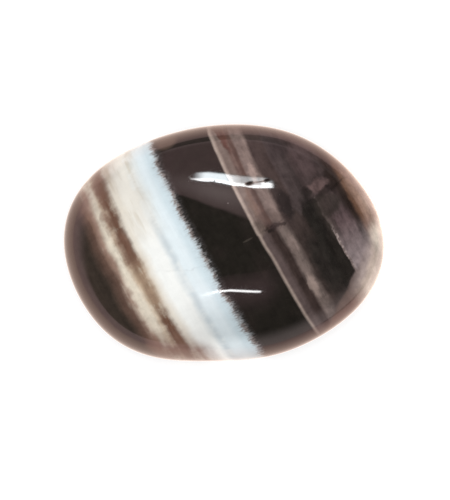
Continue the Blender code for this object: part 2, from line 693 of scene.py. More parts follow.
# %% Straw and clouds in the white
STRAW_ALONG, STRAW_IN, STRAW_STREAKS = (1.6, 6.0), (-6.3, -3.6, 1.2), (0.50, 0.66)
CLOUDS_IN, CLOUDS = (-4.45, -3.70, 0.35), (0.42, 0.60)

straw_end = product(ease(along, *STRAW_ALONG), window(depth, *STRAW_IN))
straw = product(straw_end, ease(streaks, *STRAW_STREAKS))
cloud_line = product(window(depth, *CLOUDS_IN), ease(quick, *CLOUDS))
WHITE_WASHES = (
    (straw_end, 0.62, paint(226, 218, 204)),
    (straw, 0.42, paint(196, 182, 158)),
    (cloud_line, 0.4, PORCELAIN),
)
for where, strength, colour in WHITE_WASHES:
    light_stone = wash(light_stone, where, strength, colour)
print("the white takes", len(WHITE_WASHES), "washes")

# %% [markdown]
# ## The dark side
# Past the black, a thin pale line starts a run of grey-brown layers, as sharp as if ruled. Below
# the healed crack they are darker and end in a pale mauve block. So there are two tables, one
# for each side of the crack. Colour has seeped across it, so the change is soft and ragged.

# %% Colours of the dark side
JET = paint(31, 28, 24)
PALE_LINE, DIM_LINE = paint(168, 151, 141), paint(150, 134, 125)
WARM_TAUPE, TAUPE, GREY_TAUPE = paint(116, 101, 94), paint(104, 84, 77), paint(88, 75, 73)
COCOA, BARK = paint(84, 64, 57), paint(56, 45, 42)
FAWN, DIM_FAWN = paint(118, 102, 96), paint(106, 93, 88)
DUSK, NIGHT = paint(60, 50, 47), paint(35, 31, 28)
STRIP, SLATE_EDGE = paint(68, 59, 58), paint(122, 107, 103)
MAUVE, FAR_MAUVE = paint(56, 48, 47), paint(66, 55, 54)
LILAC, PALE_LILAC = paint(92, 76, 77), paint(148, 134, 134)

# The last layers before the stone's end are the same on both sides of the crack
END_LAYERS = (
    (9.90, 9.95, paint(116, 86, 69)),
    (10.30, 10.35, paint(172, 141, 124)),
    (10.78, 14.0, paint(209, 184, 166)),
)
EMBER = paint(47, 36, 32)
print("the dark side ends in", len(END_LAYERS), "layers of rust and shell")

# %% The layers of the dark side
ABOVE_CRACK = (
    (0.0, 2.44, JET),
    (2.55, 2.62, PALE_LINE),
    (2.84, 3.20, WARM_TAUPE),
    (3.42, 3.56, TAUPE),
    (3.70, 3.86, COCOA),
    (4.02, 4.72, FAWN),
    (4.98, 5.90, DUSK),
    (6.10, 6.70, STRIP),
    (6.90, 7.08, MAUVE),
    (7.20, 9.10, FAR_MAUVE),
    (9.30, 9.58, EMBER),
    *END_LAYERS,
)
BELOW_CRACK = (
    (0.0, 2.40, JET),
    (2.56, 2.61, DIM_LINE),
    (2.76, 3.05, GREY_TAUPE),
    (3.46, 3.84, BARK),
    (4.14, 4.58, DIM_FAWN),
    (4.98, 5.90, DUSK),
    (6.40, 7.46, NIGHT),
    (7.54, 7.60, SLATE_EDGE),
    (7.76, 9.20, LILAC),
    (9.42, 9.58, EMBER),
    *END_LAYERS,
)
SEEPAGE, SEEPS = ((1.4, 1.4, 1.0), (0.0, 7.0, 0.0), 3.0), 1.1
CRACK_SIDES = (-0.35, 0.35)

crack_side = ease(total(past_crack, wander(veins(*SEEPAGE), SEEPS)), *CRACK_SIDES)
above, below = layers(depth, ABOVE_CRACK), layers(depth, BELOW_CRACK)
dark_stone = agate.blend(crack_side, below, above)
print("above the crack are", len(ABOVE_CRACK), "dark layers, and below it", len(BELOW_CRACK))

# %% [markdown]
# ## Patches in the dark side
# The layers of the dark side change along their length: one darkens to red-brown, the black
# beside the block has a ragged corner, and a few patches stand out. Painting them would need
# an image, so each patch is an oval column in the stone instead. A noise whose colour shifts
# the place that we look at makes their sides ragged. Last, the block turns paler towards its
# lower end, and small flecks follow its edge.

# %% Ragged patches
RAGGED = 0.8  # mm from side to side
SWIRL = (1.7, 5.0)  # how often it changes in a millimetre, and its detail

# Each patch: its middle (across, along), its reach, how strong it is, and its colour
PATCHES_OF_DARK = (
    ((6.10, -5.20), (1.15, 3.60), 0.85, paint(37, 34, 31)),
    ((5.50, 0.42), (0.72, 1.75), 0.97, paint(30, 27, 25)),
    ((8.55, 0.50), (1.20, 0.60), 0.56, paint(116, 94, 92)),
    ((8.40, 3.00), (1.00, 2.30), 0.60, paint(82, 67, 67)),
    ((3.66, 7.60), (0.42, 2.10), 0.85, paint(84, 52, 43)),
    ((4.45, 3.70), (0.42, 1.10), 0.80, paint(156, 136, 128)),
    ((4.60, -2.60), (0.42, 1.20), 0.45, paint(132, 115, 109)),
    ((4.55, -6.00), (0.42, 1.30), 0.60, paint(142, 125, 117)),
    ((3.30, 1.60), (0.34, 1.60), 0.50, paint(104, 80, 68)),
    ((3.70, -0.05), (1.50, 0.95), 0.45, paint(58, 46, 41)),
    ((7.95, -2.70), (0.55, 1.90), 0.60, paint(52, 46, 42)),
    ((6.35, 0.00), (0.60, 0.85), 0.80, paint(66, 57, 56)),
    ((7.45, 0.40), (0.50, 0.60), 0.85, paint(38, 33, 31)),
    ((6.85, -0.20), (0.40, 0.62), 0.80, paint(62, 53, 52)),
    ((9.00, -0.14), (1.05, 0.44), 0.80, paint(40, 33, 31)),
    ((3.85, -0.80), (0.62, 0.40), 0.92, paint(38, 31, 29)),
    ((4.60, -0.82), (0.50, 0.26), 0.80, paint(42, 34, 32)),
    ((7.90, -0.36), (1.00, 0.44), 0.88, paint(36, 31, 29)),
    ((9.75, -0.30), (0.62, 3.60), 0.80, paint(40, 32, 29)),
    ((7.00, -1.90), (0.72, 2.80), 0.90, paint(34, 31, 28)),
    ((8.45, -1.20), (1.50, 1.30), 0.85, paint(52, 46, 42)),
    ((7.00, 4.60), (1.20, 1.40), 0.55, paint(46, 40, 40)),
)

swirl = agate.noise_node(grain, *SWIRL)
aside = (-RAGGED / 2, -RAGGED / 2, 0.0)
shifts = agate.stretch(swirl.outputs["Color"], (RAGGED, RAGGED, 0.0), aside)
ragged = agate.run(agate.node("ShaderNodeVectorMath", operation="ADD"), grain, shifts)
for middle, reach, strength, colour in PATCHES_OF_DARK:
    patch = agate.spot(ragged, middle, reach, strength)
    dark_stone = agate.blend(patch, dark_stone, colour)
print("the dark side has", len(PATCHES_OF_DARK), "patches")

# %% The block pales, and its edge is flecked
BLOCK, BLOCK_PALES = (7.62, 10.4, 0.16), (-2.6, -6.2, 0.0, 0.85)
FLECKS, FLECKED = ((3.0, 4.5, 4.5), (3.0, 0.0, 0.0), 3.0), (0.50, 0.58)
FLECKS_IN, FLECKS_ALONG = (7.50, 7.68, 0.12), (-6.4, -3.0, 1.6)
FLECK_STRENGTH, FLECK_COLOUR = 0.75, paint(166, 150, 146)

in_block = product(window(depth, *BLOCK), ease(along, *BLOCK_PALES))
dark_stone = agate.blend(in_block, dark_stone, PALE_LILAC)
flecked = product(ease(veins(*FLECKS), *FLECKED), window(depth, *FLECKS_IN))
flecked = product(flecked, window(along, *FLECKS_ALONG))
dark_stone = wash(dark_stone, flecked, FLECK_STRENGTH, FLECK_COLOUR)
print("the block is palest", -BLOCK_PALES[1], "mm along the grain")

# %% [markdown]
# ## The pale end
# At one end the layers stop at a skin that wraps round the stone. At the tip it is pale and
# has a crisp inner edge, and beside it the skin is brown and comes in softly. It pales the
# lower we look, and it is almost white at the very tip. So one measure runs towards that end
# and says where the skin is, the height says how pale it is, and the place along the grain
# chooses between the crisp edge and the soft one.

# %% Where the skin is
SKIN_BEARING = math.radians(-25)
FRAYED, FRAYS = ((0.9, 0.9, 0.9), (5.0, 0.0, 0.0), 3.0), 0.24
CRISP_EDGE, SOFT_EDGE = (9.98, 10.26, 0.0, 0.95), (9.3, 11.6, 0.0, 0.95)
AT_TIP, SKIN_ALONG = (-4.8, -7.2), (-2.6, -6.2)

skin_turn = SKIN_BEARING + GRAIN_TURN
towards_end = agate.node("ShaderNodeVectorMath", operation="DOT_PRODUCT")
agate.feed(towards_end.inputs[0], grain)
agate.feed(towards_end.inputs[1], (math.cos(skin_turn), math.sin(skin_turn), 0.0))
towards = total(towards_end.outputs["Value"], wander(veins(*FRAYED), FRAYS))
at_tip = ease(along, *AT_TIP)
crisp_skin = product(ease(towards, *CRISP_EDGE), at_tip)
soft_skin = product(ease(towards, *SOFT_EDGE), rest(at_tip))
skin = product(total(crisp_skin, soft_skin), ease(along, *SKIN_ALONG))
print("the crisp skin starts", CRISP_EDGE[0], "mm from the middle, and the soft one", SOFT_EDGE[0])

# %% The skin's colours
SKIN_SWIRL = 0.30
SKIN_LAYERS = (
    (-4.50, -4.30, paint(122, 107, 104)),
    (-3.85, -3.80, paint(163, 147, 141)),
    (-3.45, -3.40, paint(200, 181, 167)),
    (-3.05, -3.00, paint(234, 216, 200)),
    (-2.60, -1.00, paint(246, 233, 217)),
)
BROWN_HEIGHTS = (4.5, 2.5)  # mm up: where the brown skin is darkest and palest
DARK_SKIN, TAWNY_SKIN = paint(76, 62, 57), paint(126, 99, 88)
PALE_ACROSS, PALE_LAYERS = (6.4, 8.4), (10.2, 11.2)
PALEST_AT, PALEST_REACH, PALEST_STRENGTH = (11.4, -5.6), (1.6, 2.2), 0.75
PALEST = paint(250, 236, 218)

skin_height = total(up, wander(swirl.outputs["Fac"], SKIN_SWIRL))
pale_skin = layers(product(skin_height, -1.0), SKIN_LAYERS)
brown_skin = agate.blend(ease(skin_height, *BROWN_HEIGHTS), DARK_SKIN, TAWNY_SKIN)
pale_share = ease(across, *PALE_ACROSS)
dark_stone = agate.blend(skin, dark_stone, agate.blend(pale_share, brown_skin, pale_skin))
palest = agate.spot(grain, PALEST_AT, PALEST_REACH, PALEST_STRENGTH)
dark_stone = agate.blend(palest, dark_stone, PALEST)
pale_tip = agate.combine("MAXIMUM", product(skin, pale_share), ease(depth, *PALE_LAYERS))
pale_tip = total(pale_tip, palest)
print("the pale skin has", len(SKIN_LAYERS), "steps from", -SKIN_LAYERS[0][0], "mm up")

# %% [markdown]
# ## The toothed edge
# The white band ends in tiny teeth: each is the tip of a bundle of fibres that grew out into
# the black. A field of small cones, measured mostly along and up, gives every bundle a rounded
# foot and a sharp gap beside it. A finer noise breaks up their rhythm, and a slower one lets
# whole runs of them reach further. Towards the lower end the teeth are blunter. Their tips are
# brownish, and a faint grey shimmer of loose fibres lies just inside the black.

# %% The white band's teeth
EDGE = -2.00
TOOTH_LENGTH, TEETH = 0.22, (0.8, 6.2, 6.2)
BROKEN, BREAKS = ((3.4, 7.6, 7.6), (1.0, 0.0, 0.0), 3.2, 0.62), 0.37
RUNS, RUNS_REACH = ((0.3, 1.0, 1.0), (0.0, 4.0, 0.0)), 0.28
BLUNT_END = (-2.5, -7.0, 1.0, 0.60)
TOOTH_SIDE = (-0.18, 0.26)

tips = agate.cones(agate.stretch(grain, TEETH))
broken, runs = veins(*BROKEN), veins(*RUNS)
teeth = total(EDGE, product(tips, TOOTH_LENGTH), wander(broken, BREAKS), wander(runs, RUNS_REACH))
into_black = minus(depth, teeth)
black = ease(product(into_black, ease(along, *BLUNT_END)), *TOOTH_SIDE)
print("about", TEETH[1], "teeth a millimetre")

# %% The teeth's colours, and the shimmer beside them
FUZZ, FUZZ_COLOUR = (-0.62, 0.02, 0.0, 0.62), paint(170, 181, 187)
TIPS, TIPS_SHARE, TIPS_COLOUR = (-0.30, 0.04), (0.40, 0.60, 0.35, 0.85), paint(146, 128, 120)
SHIMMER, SHIMMER_SHARE, SHIMMER_SWAY = (0.80, 0.12), (0.40, 0.66, 0.14, 0.58), 0.24
SHIMMER_COLOUR = paint(98, 94, 95)
WHITE_PART = (-6.3, -1.0, 0.5)

pattern = agate.blend(ease(into_black, *FUZZ), light_stone, FUZZ_COLOUR)
brown_tips = product(ease(into_black, *TIPS), ease(quick, *TIPS_SHARE))
pattern = agate.blend(brown_tips, pattern, TIPS_COLOUR)
past_edge = minus(depth, total(EDGE, wander(runs, SHIMMER_SWAY)))
shimmer = product(ease(past_edge, *SHIMMER), ease(broken, *SHIMMER_SHARE))
dark_stone = agate.blend(shimmer, dark_stone, SHIMMER_COLOUR)
pattern = agate.blend(black, pattern, dark_stone)
white_part = product(window(depth, *WHITE_PART), rest(black))
print("the shimmer ends", SHIMMER[0], "mm inside the black")

# %% [markdown]
# ## Clouds and fine grain
# Several things keep any band from being flat. Clouds of a warmer dark lie in the dark side.
# Every layer is itself made of hair-thin layers, a little lighter and darker, and its fibres
# cross the layers as a faint nap. A soft mottle lies over it all, and in the grey-brown layers
# the shade drifts as well. Each is a noise with its own stretch, and their sum brightens and
# darkens the colour that is already there. The streaked part and the skin are calmer, and the
# white is so dense that it keeps only a sixth.

# %% Clouds and shades
CLOUDY, CLOUDS_SHOW = ((0.30, 0.22, 0.30), (2.0, 9.0, 0.0), 3.0, 0.6), (0.50, 0.72)
CLOUD_STRENGTH, CLOUD_COLOUR = 0.30, paint(56, 45, 43)
FINE, FINE_SHADE = ((5.5, 0.30, 0.30), (0.0, 0.0, 0.0), 3.0, 0.6), 0.22
NAP, NAP_SHADE = ((1.4, 6.0, 6.0), (4.0, 0.0, 0.0)), 0.10
MOTTLE, MOTTLE_SHADE = ((1.4, 1.4, 1.4), (0.0, 0.0, 0.0), 4.0, 0.6), 0.50
DRIFT, DRIFT_SHADE = ((1.9, 0.7, 0.7), (0.0, 3.0, 1.0), 4.0, 0.6), 0.75
DRIFT_FROM = (2.9, 3.6)
CALM_STREAKS, CALM_SKIN, CALM_WHITE = 0.35, 0.6, (0.0, 1.0, 1.0, 0.16)

clouds = product(ease(veins(*CLOUDY), *CLOUDS_SHOW), black)
pattern = wash(pattern, clouds, CLOUD_STRENGTH, CLOUD_COLOUR)
fine, nap, mottle, drift = (
    wander(veins(*row), reach)
    for row, reach in (
        (FINE, FINE_SHADE), (NAP, NAP_SHADE), (MOTTLE, MOTTLE_SHADE), (DRIFT, DRIFT_SHADE),
    )
)
shade = total(fine, nap, mottle, product(drift, ease(depth, *DRIFT_FROM)))
calm = agate.combine("MAXIMUM", product(coloured, CALM_STREAKS), product(skin, CALM_SKIN))
strength = product(ease(white_part, *CALM_WHITE), rest(calm))
pattern = agate.brighten(pattern, total(1.0, product(shade, strength)))
print("fine layers shade the stone by up to", FINE_SHADE, "to either side")

# %% [markdown]
# ## Painted shade on the white, the crack and small pits
# The white is darkened a little high on the dome towards the lower end of its band: that is
# painted shade. The healed crack is drawn over all the layers. It is plainest in the
# grey-brown ones and faint in the others. We take a noise from the distance to it, so that the
# line swells and shrinks as a real one does. Last come a few pits and flecks, each one a spot.

# %% Painted shade on the white, crack and pits
WHITE_SHADE_STRENGTH = 0.26
SHADED_HEIGHTS, SHADED_ALONG, SHADED_IN = (4.5, 5.9, 0.9), (-1.0, -7.5, 0.25, 1.0), (-5.8, -4.4, 0.3, 1.0)
CRACK_WIDTH, WIDTH_SWAY, CRACK_SIDE = ((1.7, 0.0, 0.8), (0.0, 0.0, 0.0)), 0.20, (0.16, -0.04)
BREAKS_IN_CRACK, CRACK_SHOWS = ((0.55, 0.0, 0.3), (1.0, 0.0, 0.0)), (0.42, 0.60)
CRACK_FADES, CRACK_COLOUR = (1.0, 3.6, 0.12, 0.62), paint(30, 24, 22)

# Each pit or fleck: its middle, its reach, how strong it is, and its colour
PITS = (
    ((3.88, 3.12), (0.40, 0.15), 0.92, paint(36, 27, 24)),
    ((5.17, 2.71), (0.34, 0.13), 0.92, paint(36, 27, 24)),
    ((-0.10, 5.42), (0.10, 0.10), 0.80, paint(52, 44, 42)),
    ((1.70, -0.69), (0.55, 0.10), 0.26, paint(96, 88, 80)),
    ((-0.30, 8.90), (1.10, 0.60), 0.45, paint(120, 98, 86)),
    ((1.69, 2.52), (0.09, 0.09), 0.60, paint(112, 102, 100)),
)

# Painted shade: the white darkens high on the dome towards the lower end of its band
shaded_white_place = product(window(up, *SHADED_HEIGHTS), ease(along, *SHADED_ALONG), ease(depth, *SHADED_IN))
white_shade = product(shaded_white_place, product(white_part, -WHITE_SHADE_STRENGTH))
pattern = agate.brighten(pattern, total(1.0, white_shade))
width_sway = wander(veins(*CRACK_WIDTH), WIDTH_SWAY)
from_crack = minus(agate.combine("ABSOLUTE", past_crack, 0.0), width_sway)
shows = ease(veins(*BREAKS_IN_CRACK), *CRACK_SHOWS)
crack = product(ease(from_crack, *CRACK_SIDE), ease(across, *CRACK_FADES), shows)
pattern = agate.blend(crack, pattern, CRACK_COLOUR)
for middle, reach, strength, colour in PITS:
    pattern = agate.blend(agate.spot(grain, middle, reach, strength), pattern, colour)
print("the stone has", len(PITS), "pits and flecks")

# %% [markdown]
# ## The thin edge, darkened by stain and painted shade
# Chalcedony lets light through where it is thin, and iron stains its skin. So round the widest
# part of this stone every layer turns browner and darker, though each still shows. Part of that
# is stain, and part is painted light: painted shade where the shoulder turns away from the light
# above, and the brown of light seen through the thin edge, painted into the colour. On the
# surface that is a matter of height: nothing above the shoulder, most just above the widest
# outline, and less again underneath. The pale brown layers take the stain and painted shade
# higher up and in blotches, the blue-white takes a little painted grey shade, and the white
# takes almost none.

# %% The edge's stain, painted shade and painted see-through brown
# Stain colours that also carry painted shade and the painted brown of light through the thin edge
DARK_STAIN_AND_SHADE, PALE_STAIN_AND_SHADE, GREY_EDGE_SHADE = paint(92, 64, 54), paint(122, 92, 80), paint(158, 156, 155)
DARK_STRENGTH = 0.72
UNDERNEATH, LOW_DOWN, LOWER_HALF = (0.2, 1.6, 0.45, 1.0), (4.6, 2.4), (5.6, 3.4)
SMOKY, BROWN_LAYERS, DARK_LAYERS = (-8.8, -9.6), (-4.4, -6.0), (-2.2, -1.4)
CLEAR_OF_STAIN_AND_SHADE, BLOTCHES = (0.0, 1.5, 1.0, 0.05), (0.34, 0.66, 0.62, 1.05)
PALE_ALONG = (6.0, -6.0, 0.45, 0.94)
BLUE_LAYERS, BLUE_ALONG = (-4.0, -1.9, 0.8), (0.0, -7.0, 0.06, 0.34)

underneath = ease(up, *UNDERNEATH)
low_down = product(ease(up, *LOW_DOWN), underneath)
lowest = product(low_down, low_down)
smoky = ease(depth, *SMOKY)
dark_stained_and_shaded = product(lowest, ease(depth, *DARK_LAYERS), ease(pale_tip, *CLEAR_OF_STAIN_AND_SHADE))
dark_stained_and_shaded = total(dark_stained_and_shaded, product(lowest, smoky))
pale_stained_and_shaded = product(ease(up, *LOWER_HALF), underneath, ease(depth, *BROWN_LAYERS))
pale_stained_and_shaded = product(pale_stained_and_shaded, ease(along, *PALE_ALONG), ease(mixed, *BLOTCHES))
blue_shaded = product(low_down, window(depth, *BLUE_LAYERS), ease(along, *BLUE_ALONG))
# These washes paint shade and see-through brown onto the low edge, together with some stain
pattern = wash(pattern, pale_stained_and_shaded, rest(smoky), PALE_STAIN_AND_SHADE)
pattern = wash(pattern, dark_stained_and_shaded, DARK_STRENGTH, DARK_STAIN_AND_SHADE)
pattern = agate.blend(blue_shaded, pattern, GREY_EDGE_SHADE)
print("the stain is strongest from", UNDERNEATH[1], "to", LOW_DOWN[1], "mm up")

# %% [markdown]
# ## Polish
# The dome is polished until it mirrors. The denser white takes that polish a little less well
# than the glassy black. The sawn back was only ground flat, so it is matt and keeps faint,
# even saw lines. One mask on the height tells the two apart, and we use it for the roughness
# here and for the relief after it.

# %% Polish and grinding
GROUND_HEIGHTS = (0.11, 0.03)  # mm up: where the grinding sets in and where it is full
POLISHED, WHITE_POLISH, GROUND = 0.045, 0.085, 0.46
WEAR, WEAR_SWAY = ((0.5, 0.5, 0.5), (0.0, 0.0, 0.0), 3.0), 0.02

ground = ease(up, *GROUND_HEIGHTS)
wear = wander(veins(*WEAR), WEAR_SWAY)
polish = total(ease(white_part, 0.0, 1.0, POLISHED, WHITE_POLISH), wear)
roughness = total(product(ground, GROUND), product(polish, rest(ground)))
print("roughness", POLISHED, "on the dome and", GROUND, "on the back")

# %% [markdown]
# ## Relief
# A few heights are too small to model: saw lines and grit on the back, a faint ripple in the
# polish, the crack's hair-fine groove, and the white standing a touch proud of the softer
# layers beside it. A bump node turns them into a change of the light's angle, which is all
# that we would see of them.

# %% Saw lines, grit and grooves
SAW_LINES_PER_MM = 1.3
WAVE_LENGTH = 0.314  # the wave texture repeats after this much of its own units
SAW_DRIFT, SAW_DISTORTION, SAW_DETAIL = 0.012, 1.5, 2.0
SAW_RELIEF, GRIT_SCALE, GRIT_RELIEF = 0.006, 9.0, 0.008  # relief in mm
RIPPLE_SCALE, RIPPLE_RELIEF = 1.1, 0.0010
PROUD_WHITE, PROUD_RELIEF = (-6.4, -2.4, 1.6), 0.002
CRACK_RELIEF = -0.003

saw = agate.node("ShaderNodeTexWave", bands_direction="X")
saw_place = agate.stretch(grain, (SAW_LINES_PER_MM * WAVE_LENGTH, SAW_DRIFT, 0.0))
sockets = ("Vector", "Scale", "Distortion", "Detail")
for socket, value in zip(sockets, (saw_place, 1.0, SAW_DISTORTION, SAW_DETAIL)):
    agate.feed(saw.inputs[socket], value)
saw_lines = product(saw.outputs["Fac"], SAW_RELIEF)
grit = product(agate.noise(grain, GRIT_SCALE), GRIT_RELIEF)
relief = total(
    product(agate.noise(grain, RIPPLE_SCALE), RIPPLE_RELIEF),
    product(window(depth, *PROUD_WHITE), PROUD_RELIEF),
    product(crack, CRACK_RELIEF),
    product(total(saw_lines, grit), ground),
)
print("the saw left", SAW_LINES_PER_MM, "lines a millimetre")

# %% [markdown]
# ## One shader for all of it
# Chalcedony is clear in itself and full of fine colour. We could let light scatter inside it,
# but the layers are dense, and scattering would blur their thin lines. So the colour sits on
# the surface, under a clear gloss with the stone's own index of refraction, and the shader
# makes the mirror stronger towards the edge by itself. The finished piece then takes the
# place of the solid: it stands for that node and rides on the same body.

# %% The shader, and the stone in its place
CHALCEDONY_IOR = 1.54

shader = agate.node("ShaderNodeBsdfPrincipled")
bump = agate.node("ShaderNodeBump")
bump.inputs["Distance"].default_value = MM
agate.feed(bump.inputs["Height"], relief)
agate.feed(shader.inputs["Base Color"], pattern)
agate.feed(shader.inputs["Roughness"], roughness)
agate.feed(shader.inputs["Normal"], bump.outputs["Normal"])
shader.inputs["IOR"].default_value = CHALCEDONY_IOR
agate.show(shader.outputs[0])
stone.data.materials.append(agate.material)
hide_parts("agate_stone")
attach(stone, "root")
print("the stone's material has", len(agate.tree.nodes), "nodes")

# %% [markdown]
# ## The camera
# We look straight down on the stone. From close by, the crest would look too large and hide the
# steep shoulder, so the camera stands well above the stone with a long lens. The view transform
# is the plain one, which keeps a painted colour as it was painted.

# %% The camera
CAMERA_HEIGHT = 298 * MM
PICTURE_X, PICTURE_Y = 0.078 * MM, -0.569 * MM  # what the middle of the picture shows
LENS = 275
FAR_LIMIT = 10.0

eye = bpy.data.objects.new("eye", bpy.data.cameras.new("eye"))
bpy.context.scene.collection.objects.link(eye)
eye.location = (PICTURE_X, PICTURE_Y, CAMERA_HEIGHT + GIRDLE_HEIGHT)
eye.data.lens = LENS
eye.data.clip_end = FAR_LIMIT
bpy.context.scene.camera = eye
bpy.context.scene.view_settings.view_transform = "Standard"
print("the camera looks down from", round(CAMERA_HEIGHT / MM), "mm")

# %% [markdown]
# ## A mirror for the room
# A polished dome is a mirror, and much of what we see on a dark stone is the room. We could
# move lamps about until their images look right. Here we work backwards instead: from the place
# on the dome where an image should be, we follow the line of sight out into the room, and
# stand the lamp where it ends. For that we need the dome's height over any point of the plan,
# and its slope there, which says which way it faces.

# %% Where the dome mirrors to
SLOPE_STEP = 0.01 * MM


def dome_height(x, y):
    """The dome's height over a point of the plan: the profile's superellipse, for the point's
    share of the way from the middle to the outline."""
    angle = np.arctan2(y, x)
    edge_x, edge_y = place(angle, 1.0)
    share = np.clip(np.hypot(x, y) / np.hypot(edge_x, edge_y), 0, 1)
    rise = (1 - share**DOME_FULLNESS) ** (1 / DOME_FULLNESS)
    return GIRDLE_HEIGHT + DOME_HEIGHT * rise


def mirrored(x, y, reach):
    """Where the eye's line of sight to a point of the dome ends up after the dome has
    mirrored it, this far away. The mirrored ray is 2 (n.v) n - v."""
    slope_x = dome_height(x + SLOPE_STEP, y) - dome_height(x - SLOPE_STEP, y)
    slope_y = dome_height(x, y + SLOPE_STEP) - dome_height(x, y - SLOPE_STEP)
    slopes = np.stack([slope_x, slope_y], axis=-1) / (2 * SLOPE_STEP)
    normal = np.concatenate([-slopes, np.ones_like(slopes[..., :1])], axis=-1)
    normal /= np.linalg.norm(normal, axis=-1, keepdims=True)
    at = np.stack([x, y, dome_height(x, y)], axis=-1)
    sight = np.array(eye.location) - at
    sight /= np.linalg.norm(sight, axis=-1, keepdims=True)
    ray = 2 * (normal * sight).sum(-1, keepdims=True) * normal - sight
    return at + reach * ray


half_way = np.array([box_high.x / 2, 0.0])
print("half way out, the dome is", round(float(dome_height(*half_way)) / MM, 2), "mm high")

# %% [markdown]
# ## Sheets of light
# Each image in the dome comes from one sheet, a grid of points that glows and hides what is
# behind it. A plain lamp is evenly bright, but what a stone mirrors fades, changes colour
# and has marks. So the light is a value at each point of the sheet, worked out by a formula,
# and the material only passes it on. Only mirrors see these sheets. They aren't part of the
# stone: they cast no shadow and light nothing else.

# %% Formulas for light
def step(value, start, end):
    """0 up to start, 1 from end on, and an S-shaped curve, 3 t^2 - 2 t^3, between them."""
    t = np.clip((value - start) / (end - start), 0, 1)
    return t * t * (3 - 2 * t)


def bell(value, middle, width):
    """A bell curve: e to the power of minus ((value - middle) / width) squared."""
    return np.exp(-(((value - middle) / width) ** 2))


def tinted(strength, tint):
    """An array of strengths, as red, green and blue."""
    return strength[..., None] * np.array(tint)


QUARTER = 0.25
print("a quarter of the way along, a soft step is at", step(QUARTER, 0.0, 1.0))


# %% A sheet of light
def glow_material(name):
    """A material that gives off what each point's glow says, and hides what is behind it as
    far as the point's cover says."""
    light = Recipe(name)
    glow = light.node("ShaderNodeAttribute", attribute_name="glow").outputs["Vector"]
    cover = light.node("ShaderNodeAttribute", attribute_name="cover").outputs["Fac"]
    lamp = light.run(light.node("ShaderNodeEmission"), glow)
    clear = light.run(light.node("ShaderNodeBsdfTransparent"), light.rest(cover))
    light.show(light.run(light.node("ShaderNodeAddShader"), lamp, clear))
    light.material.cycles.emission_sampling = "NONE"
    return light.material


def glowing_sheet(name, corners, radiance, cover):
    """A sheet through a grid of points (row, column, xyz), with the radiance and the cover
    of each point. Only mirrors see it."""
    rows, columns, _ = corners.shape
    index = np.arange(rows * columns).reshape(rows, columns)
    faces = np.stack([index[:-1, :-1], index[:-1, 1:], index[1:, 1:], index[1:, :-1]], axis=-1)
    mesh = bpy.data.meshes.new(name)
    mesh.from_pydata(corners.reshape(-1, 3).tolist(), [], faces.reshape(-1, 4).tolist())
    glows = mesh.attributes.new("glow", "FLOAT_VECTOR", "POINT")
    glows.data.foreach_set("vector", np.ascontiguousarray(radiance, dtype=np.float32).ravel())
    covers = mesh.attributes.new("cover", "FLOAT", "POINT")
    covers.data.foreach_set("value", np.ascontiguousarray(cover, dtype=np.float32).ravel())
    mesh.materials.append(glow_material(name))
    sheet = bpy.data.objects.new(name, mesh)
    bpy.context.scene.collection.objects.link(sheet)
    sheet.visible_camera = False
    sheet.visible_diffuse = False
    sheet.visible_shadow = False
    print(name, "has", len(mesh.polygons), "faces, and is brightest at", round(np.max(radiance), 2))


print("sheets are seen by mirrors only")

# %% [markdown]
# ## Cards for the glints
# The two glints on the dome have outlines of their own, so each is given as two edges in the
# picture, a low one and a high one, from left to right. We turn these pixels into millimetres
# on the plan, fill the space between the edges with a grid, and mirror every point of it out
# into the room. What we get is a curved card that only makes sense seen in the dome, and there
# its image lies exactly between the edges.

# %% From the picture to a card
LAMP_REACH = 450 * MM
HAZE_REACH = 700 * MM  # behind the lamps
CARD_ROWS, CARD_COLUMNS = 25, 97
PIXELS_PER_MM = 12.83
MIDDLE_PIXEL = (224.0, 242.7)  # the stone's middle: pixels to the right and down


def on_stone(pixels):
    """Millimetres on the plan from pixels of the picture: x to the right, and y up."""
    pixels = np.array(pixels, float)
    x = (pixels[:, 0] - MIDDLE_PIXEL[0]) / PIXELS_PER_MM
    y = (MIDDLE_PIXEL[1] - pixels[:, 1]) / PIXELS_PER_MM
    return x, y


def spread(edge):
    """Metres on the plan, evenly spaced by x, on a line through the pixels of an edge."""
    edge_x, edge_y = on_stone(edge)
    x = np.linspace(edge_x[0], edge_x[-1], CARD_COLUMNS)
    return np.stack([x, np.interp(x, edge_x, edge_y)], axis=-1) * MM


def lamp_card(name, low_edge, high_edge, light, reach):
    """A card whose image in the dome lies between two edges. light(u, v) gives its radiance
    and its cover, where u runs from 0 to 1 along the card and v from its low edge up."""
    v = np.linspace(0, 1, CARD_ROWS)[:, None, None]
    seen = spread(low_edge)[None] * (1 - v) + spread(high_edge)[None] * v
    corners = mirrored(seen[..., 0], seen[..., 1], reach)
    u = np.linspace(0, 1, CARD_COLUMNS)[None, :]
    glowing_sheet(name, corners, *light(u, v[..., 0]))


print("a millimetre of stone is", PIXELS_PER_MM, "pixels of the picture")

# %% [markdown]
# ## The upper glint
# The larger glint is a lamp seen as a bright line, with a paler and cooler body above it that
# dims to the right. Near its right end are small dark marks, where something hangs before the
# lamp. A mark is a tilted oval: we measure each point's distance from its middle, in the oval's
# own length and height, and a step of that distance lets the light through outside it.

# %% Marks in the upper glint
GLINT_LENGTH, GLINT_HEIGHT = 7.07, 0.87  # in mm on the plan
MARK_SIDE = (0.85, 1.25)

# Each mark: its middle (u, v), its half length and half height in mm, and its tilt
MARKS = (
    ((0.675, 0.32), (0.40, 0.145), math.radians(16)),
    ((0.880, 0.70), (0.34, 0.135), math.radians(22)),
    ((0.782, 0.515), (0.50, 0.045), math.radians(4)),
    ((0.305, 0.08), (0.08, 0.12), 0.0),
)


